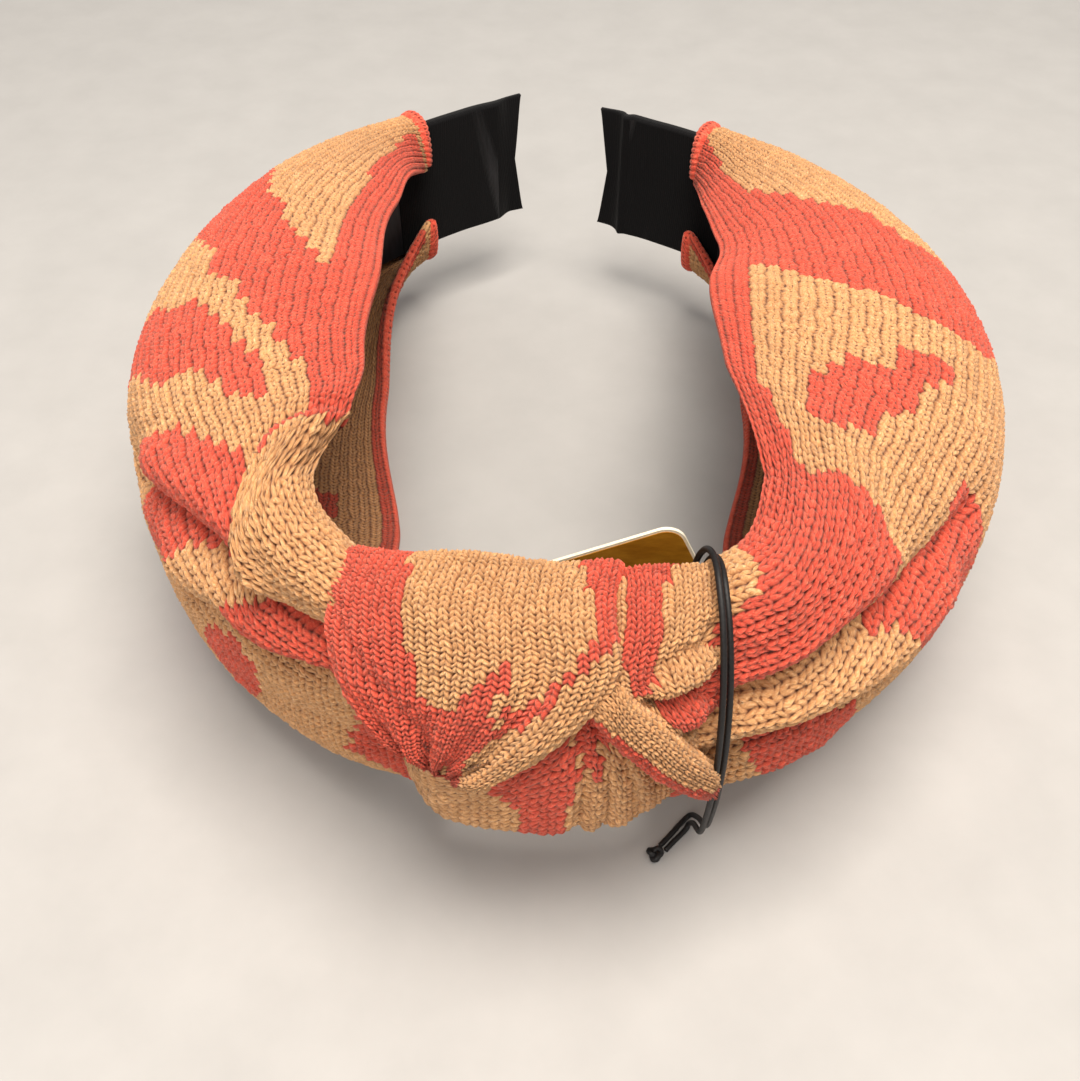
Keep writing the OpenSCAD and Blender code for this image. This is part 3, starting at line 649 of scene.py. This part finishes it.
def upper_up(u, v, x, al):
    h = -0.4 - 4 * (1 - rounded(v, 4.5)) * (1 - 0.75 * smooth(0.45, 0.6, u))
    h -= 1.6 * crease([(18.5, 58), (14, 54.5), (11, 51), (9.6, 46)], x, al, 1.7)
    h += 1.5 * crease([(19, 50), (14.5, 47), (11.5, 44)], x, al, 2.4, 2)
    h -= 3.0 * crease([(20, 41), (14.5, 40.8), (11.6, 39.4), (9.4, 39.6)], x, al, 1.5)
    h += 0.9 * crease([(19, 33), (14.5, 34.5), (12.5, 36)], x, al, 1.8, 2)
    h -= 2.2 * crease([(20, 24), (16.5, 25.5), (14.4, 27)], x, al, 1.4)
    h -= 1.7 * smooth(14.8, 18, x) * smooth(68, 58, al)
    h -= 0.9 * crease([(12, 100), (11.4, 80), (10.6, 62), (9.8, 48)], x, al, 1.5)
    return h - 1.5 * smooth(0.8, 1, u)


def lower_up(u, v, x, al):
    return 1.6 - 4.6 * (1 - rounded(v, 2.6)) - 2.6 * smooth(0.2, 0, u) - 1.2 * smooth(0.8, 1, u)


def under_up(u, v, x, al):
    h = -1.5 - 3.0 * (1 - rounded(v, 7))
    h -= 1.8 * crease([(0.4, 36), (0.9, 24), (1.6, 12), (1, -2), (0, -30)], x, al, 1.0)
    h -= 1.4 * crease([(2.6, 36), (3.3, 26), (4.6, 14), (5, 2), (4, -20)], x, al, 0.9)
    h -= 1.2 * crease([(5, 32), (6.8, 20), (8.4, 8), (9, -10)], x, al, 0.9)
    h -= 0.9 * crease([(7.6, 28), (10, 16), (12, 4)], x, al, 0.9)
    h -= 1.2 * smooth(14, 36, al) + 1.6 * smooth(6, 20, x) + 1.5 * (1 - smooth(0.0, 0.2, u)) ** 1.3
    return h


# ------------ materials
class Nodes:
    def __init__(self, name):
        self.mat = bpy.data.materials.new(name)
        self.mat.use_nodes = True
        self.t = self.mat.node_tree
        self.t.nodes.clear()
        self.out = self.t.nodes.new("ShaderNodeOutputMaterial")
        self.bsdf = self.t.nodes.new("ShaderNodeBsdfPrincipled")
        self.put(self.out.inputs[0], self.bsdf.outputs[0])

    def put(self, socket, v):
        """Link v to the socket, or set the socket to it."""
        if isinstance(v, bpy.types.NodeSocket):
            self.t.links.new(v, socket)
        else:
            socket.default_value = v

    def new(self, kind, inputs=(), **props):
        n = self.t.nodes.new("ShaderNode" + kind)
        for k, v in props.items():
            setattr(n, k, v)
        for k, v in dict(inputs).items():
            self.put(n.inputs[k], v)
        return n

    def math(self, op, a, b=0.0):
        return self.new("Math", {0: a, 1: b}, operation=op).outputs[0]

    def add(self, a, b):
        return self.math("ADD", a, b)

    def mul(self, a, b):
        return self.math("MULTIPLY", a, b)

    def mix(self, f, a, b, kind="MIX"):
        return self.new("Mix", {0: f, 6: a, 7: b}, data_type="RGBA", blend_type=kind).outputs[2]

    def noise(self, vector, scale, detail, rough=0.5):
        """Noise texture, with a number as its first output and a colour as its second."""
        inputs = {"Vector": vector, "Scale": scale, "Detail": detail, "Roughness": rough}
        return self.new("TexNoise", inputs).outputs

    def ramp(self, f, stops):
        n = self.new("ValToRGB", {0: f})
        e = n.color_ramp.elements
        while len(e) < len(stops):
            e.new(0.5)
        for k, (p, c) in enumerate(stops):
            e[k].position = p
            e[k].color = c
        return n.outputs[0]

    def bump(self, height, strength, distance, normal=None):
        n = self.new("Bump", {"Height": height, "Strength": strength, "Distance": distance})
        if normal is not None:
            self.put(n.inputs["Normal"], normal)
        return n.outputs[0]

    def set(self, **kw):
        names = {"rough": "Roughness", "spec": "Specular IOR Level", "sheen": "Sheen Weight",
                 "sheen_rough": "Sheen Roughness", "metal": "Metallic", "base": "Base Color",
                 "sheen_tint": "Sheen Tint", "coat": "Coat Weight", "coat_rough": "Coat Roughness",
                 "normal": "Normal"}
        for k, v in kw.items():
            self.put(self.bsdf.inputs[names[k]], v)


def srgb(r, g, b):
    def f(c):
        c /= 255
        return c / 12.92 if c <= 0.04045 else ((c + 0.055) / 1.055) ** 2.4
    return (f(r), f(g), f(b), 1)


def knit_material():
    """Two-colour yarn, with painted shade where the knit lies deep and in each stitch's pits, and painted
    glints on its fibres. The UV map counts wales and courses, so each stitch has its own legs and pits.
    """
    m = Nodes("knit_yarn")
    attr = m.new("VertexColor", layer_name="Col")
    coral, tone, painted_cavity_shade = m.new("SeparateColor", {0: attr.outputs[0]}).outputs[:3]
    uv = m.new("UVMap", uv_map="UVMap").outputs[0]
    pos = m.new("NewGeometry").outputs["Position"]
    warp = m.noise(pos, 700.0, 2.0)[1]
    warp = m.new("VectorMath", {0: warp, 1: (0.5, 0.5, 0.5)}, operation="SUBTRACT").outputs[0]
    uvw = m.new("VectorMath", {0: warp, 1: (0.32, 0.32, 0.0), 2: uv}, operation="MULTIPLY_ADD")
    wale, course = m.new("SeparateXYZ", {0: uvw.outputs[0]}).outputs[:2]
    mirror = m.math("ABSOLUTE", m.math("SUBTRACT", m.math("FRACT", wale), 0.5))
    leg = m.math("SINE", m.mul(mirror, 2 * math.pi))
    loop = m.math("SINE", m.mul(m.math("FRACT", course), math.pi))
    pit = m.mul(m.math("SUBTRACT", 1.0, leg), m.math("SUBTRACT", 1.0, loop))

    def drawn_out(across, lean, up, detail, rough):
        """Noise that runs up each leg and leans to the middle of the stitch."""
        x = m.add(m.mul(mirror, across), m.mul(course, lean))
        place = m.new("CombineXYZ", {0: x, 1: m.mul(course, up), 2: wale}).outputs[0]
        return m.noise(place, 1.0, detail, rough)[0]
    ply = drawn_out(13.0, 1.4, 2.2, 2.0, 0.5)
    fibre = drawn_out(42.0, 5.0, 3.0, 3.0, 0.65)
    fuzz = m.noise(pos, 3600.0, 3.0, 0.7)[0]
    cloud = m.noise(pos, 85.0, 3.0)[0]
    # the yarn's own flecks along its fibres, with painted glints at the light end of both ramps
    fleck_and_glint = m.add(m.mul(fibre, 0.55), m.add(m.mul(ply, 0.3), m.mul(fuzz, 0.15)))
    coral_yarn = m.ramp(fleck_and_glint, [(0.30, srgb(164, 44, 36)), (0.46, srgb(218, 78, 58)),
                                (0.56, srgb(234, 101, 76)), (0.72, srgb(253, 158, 124))])
    tan_yarn = m.ramp(fleck_and_glint, [(0.30, srgb(168, 106, 58)), (0.46, srgb(218, 158, 102)),
                              (0.56, srgb(238, 184, 130)), (0.72, srgb(255, 236, 192))])
    shade = m.add(m.add(m.mul(tone, 0.14), m.mul(cloud, 0.2)), 0.83)
    grey = m.new("CombineColor", {0: shade, 1: shade, 2: shade}).outputs[0]
    # painted shade: the yarn is coloured darker where the knit's surface lies deep, and darker again on the
    # inner layer
    dark = m.ramp(painted_cavity_shade, [(0.0, (0.26, 0.17, 0.14, 1)), (0.5, (0.80, 0.75, 0.72, 1)), (0.85, (1, 1, 1, 1))])
    # painted shade in the pit between each stitch's legs
    painted_pit_shade = m.ramp(pit, [(0.25, (1, 1, 1, 1)), (0.62, (0.34, 0.24, 0.20, 1))])
    base = m.mix(coral, tan_yarn, coral_yarn)
    for darker in (dark, painted_pit_shade, grey):
        base = m.mix(1.0, base, darker, "MULTIPLY")
    stitch = m.mul(m.math("POWER", m.add(leg, 0.02), 0.6), m.add(m.mul(loop, 0.5), 0.5))
    height = m.add(m.mul(fibre, 0.6), m.add(m.mul(ply, 0.7), m.mul(fuzz, 0.5)))
    m.set(base=base, rough=0.74, spec=0.34, sheen=0.25, sheen_rough=0.4, sheen_tint=(1.0, 0.85, 0.72, 1),
          normal=m.bump(height, 0.9, 0.00028, m.bump(stitch, 0.8, 0.00035)))
    return m.mat


def ribbon_material():
    m = Nodes("grosgrain_ribbon")
    uv = m.new("UVMap", uv_map="UVMap").outputs[0]
    ribs = m.new("TexWave", {"Vector": uv, "Scale": 0.63, "Distortion": 0.3, "Detail": 2.0},
                 bands_direction="X")
    threads = m.noise(m.new("Mapping", {"Vector": uv, "Scale": (2, 14, 1)}).outputs[0], 1.0, 4.0)[0]
    height = m.add(m.mul(ribs.outputs[1], 0.7), m.mul(threads, 0.5))
    m.set(base=m.ramp(threads, [(0.3, srgb(4, 4, 5)), (0.75, srgb(18, 17, 19))]), rough=0.88, spec=0.12,
          sheen=0.05, sheen_rough=0.5, normal=m.bump(height, 0.5, 0.00015))
    return m.mat


def simple_material(name, dark, light, scale, rough, bump=0.3, distance=0.0001, stretch=(1, 1, 1), **kw):
    """One colour that noise takes from dark to light, with a bump of the same noise."""
    m = Nodes(name)
    pos = m.new("NewGeometry").outputs["Position"]
    n = m.noise(m.new("Mapping", {"Vector": pos, "Scale": stretch}).outputs[0], scale, 4.0, 0.6)[0]
    m.set(base=m.ramp(n, [(0.3, dark), (0.7, light)]), rough=rough, normal=m.bump(n, bump, distance), **kw)
    return m.mat


KNIT = knit_material()
RIBBON = ribbon_material()
STRIP = simple_material("hard_strip_plastic", srgb(16, 16, 18), srgb(30, 30, 33), 900, 0.42, spec=0.5)
GLUE = simple_material("hot_glue", srgb(196, 188, 160), srgb(226, 220, 198), 300, 0.25, spec=0.6)
CARD = simple_material("tag_card_stock", srgb(226, 216, 190), srgb(244, 238, 220), 1800, 0.8, spec=0.3)
FOIL = simple_material("gold_foil", srgb(176, 112, 20), srgb(214, 150, 44), 260, 0.38, bump=0.12,
                       distance=0.00006, stretch=(1, 1, 3), metal=0.25, spec=0.6, coat=0.3, coat_rough=0.2)
CORD = simple_material("waxed_cord", srgb(8, 8, 9), srgb(26, 24, 25), 2400, 0.55, bump=0.5, spec=0.4)


def dress(obj, mat):
    obj.data.materials.clear()
    obj.data.materials.append(mat)
    return obj


# ------------ cords first
CORD_A = [[18.4, -52.4, 34.2], [18.3, -53.7, 37.5], [18, -55.6, 43.5], [17.8, -57.7, 49.5],
          [17.7, -60.4, 54.8], [17.8, -63.8, 59.4], [17.9, -67.6, 62], [18, -71.6, 62.2], [18.4, -75.8, 59],
          [18.9, -79.2, 52], [19.2, -81.2, 43], [19.4, -81.2, 33], [19.9, -78.4, 22], [20.6, -74, 11],
          [20.6, -68.6, 4], [19.8, -66.4, 1], [18.1, -67.8, 0.55], [16.2, -69.9, 0.5], [14.7, -71.5, 0.5]]
CORD_B = [[17.2, -52.4, 34.2], [17.1, -53.8, 37.5], [16.9, -55.2, 43.9], [16.7, -57, 50], [16.7, -59.7, 55.5],
          [16.8, -63.4, 60.4], [17, -67.5, 63.1], [17.1, -72, 63.2], [17.5, -76.4, 59.7], [17.9, -79.9, 52.4],
          [18.2, -81.9, 43.2], [18.4, -82, 33], [18.9, -79.3, 21.7], [19.6, -75, 10.9], [19.7, -70, 4.6],
          [19.4, -68.3, 1.6], [18.9, -68.8, 0.6], [16.9, -70.8, 0.5], [15.5, -72.3, 0.5]]


def rings(middle, side_a, side_b, r, a):
    """Rings round a line, with their points at the angles a from side_a to side_b and at radius r."""
    turn = np.cos(a)[None, :, None] * side_a[:, None] + np.sin(a)[None, :, None] * side_b[:, None]
    return (middle[:, None] + r[..., None] * turn).reshape(-1, 3)


def face_places(along, around):
    """UV places of the faces between rings: the same place at all four corners of a face."""
    uv = np.stack(np.meshgrid(along, around, indexing="ij"), -1).reshape(-1, 1, 2)
    return np.broadcast_to(uv, (len(uv), 4, 2))


CORD_RADIUS = 0.45
CORD_SIDES = 14
CORD_PLIES = 3
CORD_TWIST = 2.4  # radians of turn for each mm


def tube(name, path, radius, groove):
    """Cord along a dense path, with spiral plies and a groove between them."""
    t = unit(np.gradient(path, axis=0))
    u = unit(np.cross(t[0], [0.3, 0.2, 0.9]))
    sides = []
    for along in t:
        u = unit(u - along * (u @ along))
        sides.append((u, np.cross(along, u)))
    side_a, side_b = np.moveaxis(np.array(sides), 1, 0)
    d = run_length(path)
    a = np.linspace(0, 2 * np.pi, CORD_SIDES, endpoint=False)
    ply = np.abs(np.sin(CORD_PLIES * 0.5 * (a[None, :] + CORD_TWIST * d[:, None])))
    start = path[:1] - t[:1] * radius * 0.5
    end = path[-1:] + t[-1:] * radius * 0.5
    pts = np.concatenate([rings(path, side_a, side_b, radius + groove * ply - groove, a), start, end])
    faces = outward(pts, [ring_quads(len(path), CORD_SIDES), end_fans(len(path), CORD_SIDES)])
    uv = face_places(d[:-1], np.arange(CORD_SIDES))
    return dress(build(name, pts, faces, [uv, np.zeros((2 * CORD_SIDES, 3, 2))]), CORD)


def dense(route, step=0.3):
    """Smooth curve through the route, with a point every step mm, and its length."""
    p = cubic(np.linspace(0, len(route) - 1, 900), np.arange(len(route)), route)
    d = run_length(p)
    g = np.linspace(0, d[-1], int(d[-1] / step))
    return np.stack([np.interp(g, d, p[:, k]) for k in range(3)], -1), d[-1]


path_a, len_a = dense(CORD_A)
path_b, len_b = dense(CORD_B)
cord_a = tube("tag_cord_strand_a", path_a, CORD_RADIUS, 0.07)
cord_b = tube("tag_cord_strand_b", path_b, CORD_RADIUS, 0.07)

# the end knot: a small overhand knot of the same cord, at the end of both strands
KNOT_AT = (13.7, -73.4, 1.4)
KNOT_SCALE = 0.33
t = np.linspace(0, 2 * np.pi, 160)
trefoil = np.stack([np.sin(t) + 2 * np.sin(2 * t), np.cos(t) - 2 * np.cos(2 * t), -0.9 * np.sin(3 * t)], -1)
end_knot = tube("tag_cord_end_knot", trefoil * KNOT_SCALE + np.array(KNOT_AT), 0.52, 0.06)

# ------------ pieces
COVER = {"thick": [2.4, 2.4, 2.4, 2.2, 2.2, 2.2, 2.0], "rows": 3}
left_arm = knit("left_knit_cover", arm_grid(-1), WALES, COURSES, arm_paint(-1), sign=1, seed=3, **COVER)
right_arm = knit("right_knit_cover", arm_grid(1), WALES, COURSES, arm_paint(1), sign=-1, seed=4, **COVER)
wrap = strand(
    "knot_wrap_strand",
    [(-27, 150), (-28.5, 120), (-30.2, 90), (-32, 74), (-32.3, 60), (-31.9, 48), (-30.2, 36), (-27, 28),
     (-23.5, 22), (-21, 15)],
    [(8, 150), (6.5, 120), (5.7, 90), (5.1, 78), (5.1, 66), (5.7, 56), (5.1, 48), (2.4, 40), (-2.5, 31),
     (-7.5, 23), (-12, 17.5), (-15, 12)],
    wrap_up, 26, 56, KNOT_CORAL, seed=5, pit=0.45)
upper = strand(
    "knot_upper_strand_fold",
    [(4, 150), (4.4, 120), (4.8, 90), (4.8, 75), (4.6, 62), (3.6, 52), (4.6, 44), (7, 37), (10.6, 29),
     (14, 20), (17, 10)],
    [(21.5, 150), (21.5, 120), (21.5, 90), (21.5, 75), (21.5, 62), (21.6, 50), (21.8, 40), (22, 30),
     (22.4, 20), (23, 10), (23.4, 0)],
    upper_up, 14, 50, UPPER_CORAL, seed=6, pit=0.4)
lower = strand(
    "knot_lower_strand_fold",
    [(-1.5, 42), (1.6, 37.5), (3.8, 32), (6, 27), (8.8, 20.5), (12.5, 12), (15.5, 4), (18.6, -7)],
    [(3.5, 54), (5.8, 48), (7.5, 42.5), (10.2, 37.5), (12.7, 31.5), (14.7, 25.5), (17.5, 17), (19.2, 9),
     (20.6, -3)],
    lower_up, 9, 32, LOWER_CORAL, seed=7, pit=0.35)
under = strand(
    "knot_underside_fold",
    [(-27, 9), (-21.5, 17), (-14.5, 25), (-8, 31), (-2, 39), (2.5, 43), (6, 37), (10, 29), (14, 20),
     (18, 10)],
    [(-27, -46), (-21, -56), (-13.5, -61), (-7, -62), (0, -62), (6, -62), (11, -60), (16, -58), (20, -52)],
    under_up, 26, 42, UNDER_CORAL, seed=8, pit=0.35, sign=-1, tuck=6.0, lift=(1.1, 3.3))

RIBBON_HALF = 14.15  # half the ribbon's width
TIP_UNDER = 6.0  # how far a tip goes back under its cover


def ribbon_tip(name, side):
    """Folded ribbon past the knit: two faces round the strip that come together at the fishtail end."""
    end = L1 + SR[side] * SIDE + TIP * math.radians(TIP_DEG[side])
    start = SPAN[side][1] - TIP_UNDER
    n_s, n_z = 200, 57
    z = np.linspace(-RIBBON_HALF, RIBBON_HALF, n_z)[None, :]
    edge = np.abs(z) / RIBBON_HALF
    notch = 7.0 - 2.4 * (1 - edge) ** 0.8
    s = start + np.linspace(0, 1, n_s)[:, None] * (end + notch - start)
    past = smooth(end - 0.5, end + 4, s)
    half = 1.2 * (1 - past) + 0.5 * past
    rib = 0.05 * np.cos(np.pi * np.arange(n_s))[:, None]
    wobble = 0.2 * np.sin(s * 0.45 + z * 0.12) * smooth(end - 14, end + 3, s)
    flare = 1.1 * past * edge ** 2
    fold = 0.7 * np.exp(-((s - end - 0.6) / 0.8) ** 2) * (side > 0)
    p, o = hoop(s, side)
    height = np.broadcast_to(MID + z, s.shape)[..., None]
    out = [face * (half + rib) + wobble + flare - fold for face in (1, -1)]
    front, back = [np.concatenate([p + o * n[..., None], height], -1) for n in out]
    k = 2 * n_z
    pts = np.concatenate([front, back[:, ::-1]], 1).reshape(-1, 3)
    j = np.arange(n_z - 1)
    cap = np.stack([j, k - 1 - j, k - 2 - j, j + 1], -1)
    faces = outward(pts, [ring_quads(n_s, k), np.concatenate([cap, cap[:, ::-1] + (n_s - 1) * k])])
    across = np.concatenate([z, z[:, ::-1]], 1)
    uv = np.stack(np.broadcast_arrays(s[:, :1], across), -1).reshape(-1, 2)
    return dress(build(name, pts, faces, [uv[f] for f in faces]), RIBBON)


ROLL_RADIUS = 1.75
ROLL_SIDES = 14


def cuff(name, side):
    """Rolled knit edge round the end of a cover."""
    before, last = arm_grid(side, 60)[-2:]
    along = unit(last - before)
    n = unit(np.cross(along, unit(np.gradient(last, axis=0)))) * -side
    m = WALES * STITCH_COLS + 1
    x = np.linspace(0, 1, m)

    def even(line):
        return np.stack([np.interp(x, np.linspace(0, 1, len(line)), line[:, d]) for d in range(3)], -1)
    middle, along, n = even(last + along * 0.4 - n), unit(even(along)), unit(even(n))
    k = np.arange(m)
    rib = 1.0 - 0.16 * np.abs(2 * ((k % STITCH_COLS) / STITCH_COLS) - 1) ** 2
    close = np.minimum(np.minimum(k, k[::-1]), CLOSE) / CLOSE
    end = np.sqrt(np.clip(1 - (1 - close) ** 2, 0.05, 1))
    a = np.linspace(0, 2 * np.pi, ROLL_SIDES, endpoint=False)
    r = (ROLL_RADIUS * rib * end)[:, None] * (1 + 0.05 * np.sin(a * 3))[None, :]
    pts = np.concatenate([rings(middle, along, n, r, a), middle[:1], middle[-1:]])
    quads = ring_quads(m, ROLL_SIDES)
    faces = outward(pts, [quads, end_fans(m, ROLL_SIDES)])
    uv = face_places(k[:-1] / STITCH_COLS, np.arange(ROLL_SIDES) * 0.35)
    colour = np.ones((len(uv), 4, 4))
    colour[..., 1] = np.random.default_rng(11).uniform(0.3, 0.7, (len(uv), 1))
    # third channel: painted shade, darker in the grooves between the stitches of the roll, and a fixed 0.6 on
    # its end faces
    colour[..., 2] = np.clip(rib * 1.1 - 0.15, 0, 1)[quads // ROLL_SIDES]
    end_colour = np.full((2 * ROLL_SIDES, 3, 4), 0.6)
    end_colour[..., 0] = 1
    return dress(build(name, pts, faces, [uv, np.zeros((2 * ROLL_SIDES, 3, 2))], [colour, end_colour]), KNIT)


left_tip = ribbon_tip("left_ribbon_tip", -1)
right_tip = ribbon_tip("right_ribbon_tip", 1)
left_cuff = cuff("left_rolled_end", -1)
right_cuff = cuff("right_rolled_end", 1)
for piece in (left_arm, right_arm, wrap, upper, lower, under):
    dress(piece, KNIT)

# ------------ ride on the bodies, hide the CAD parts they replace, and dress the rest
for piece, node in ((wrap, "knot_wrap"), (upper, "knot_upper_strand"), (lower, "knot_lower_strand"),
                    (under, "knot_underside"), (cord_a, "tag_cord_a"), (cord_b, "tag_cord_b"),
                    (end_knot, "tag_cord_knot")):
    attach(piece, "crown")
    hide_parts(node)
for side, word, arm, tip, roll in ((-1, "left", left_arm, left_tip, left_cuff),
                                   (1, "right", right_arm, right_tip, right_cuff)):
    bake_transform(arm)
    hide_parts(word + "_cover")
    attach(tip, word + "_arm")
    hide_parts(word + "_ribbon_end")
    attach(roll, word + "_arm")
    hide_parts(word + "_end_roll")

for name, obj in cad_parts.items():
    if "ribbon" in name:
        dress(obj, simple_material("ribbon_weave_" + name, srgb(10, 10, 12), srgb(32, 32, 36), 1500, 0.6,
                                   bump=0.5, stretch=(1, 1, 0.1)))
    elif "band" in name:
        dress(obj, STRIP)
    elif "glue" in name:
        dress(obj, GLUE)
    elif name == "tag_card":
        dress(obj, CARD)
    elif name == "tag_foil":
        dress(obj, FOIL)

# ------------ floor and light
floor_mesh = bpy.data.meshes.new("floor")
floor_mesh.from_pydata([(-3, -3, 0), (3, -3, 0), (3, 3, 0), (-3, 3, 0)], [], [(0, 1, 2, 3)])
floor = bpy.data.objects.new("floor", floor_mesh)
bpy.context.scene.collection.objects.link(floor)
dress(floor, simple_material("pale_floor", srgb(172, 171, 170), srgb(178, 177, 176), 60, 0.9, bump=0.05))

world = bpy.data.worlds.new("world")
world.use_nodes = True
sky = world.node_tree.nodes["Background"]
sky.inputs[0].default_value = (1.0, 0.97, 0.93, 1)
sky.inputs[1].default_value = 0.45
bpy.context.scene.world = world

LIT_PLACE = (0, -0.03, 0.02)  # metres, where both lights point


def area(name, place, size, power, colour):
    """Square light at place, in metres."""
    light = bpy.data.lights.new(name, "AREA")
    light.shape = "SQUARE"
    light.size = size
    light.energy = power
    light.color = colour
    o = bpy.data.objects.new(name, light)
    o.location = place
    v = unit(np.subtract(LIT_PLACE, place))
    o.rotation_euler = (math.acos(-v[2]), 0, math.atan2(v[1], v[0]) - math.pi / 2)
    bpy.context.scene.collection.objects.link(o)


area("key", (0.07, -0.13, 0.75), 0.42, 8.9, (1.0, 0.92, 0.82))
area("fill", (-0.25, -0.6, 0.5), 0.6, 2.4, (1.0, 0.94, 0.87))
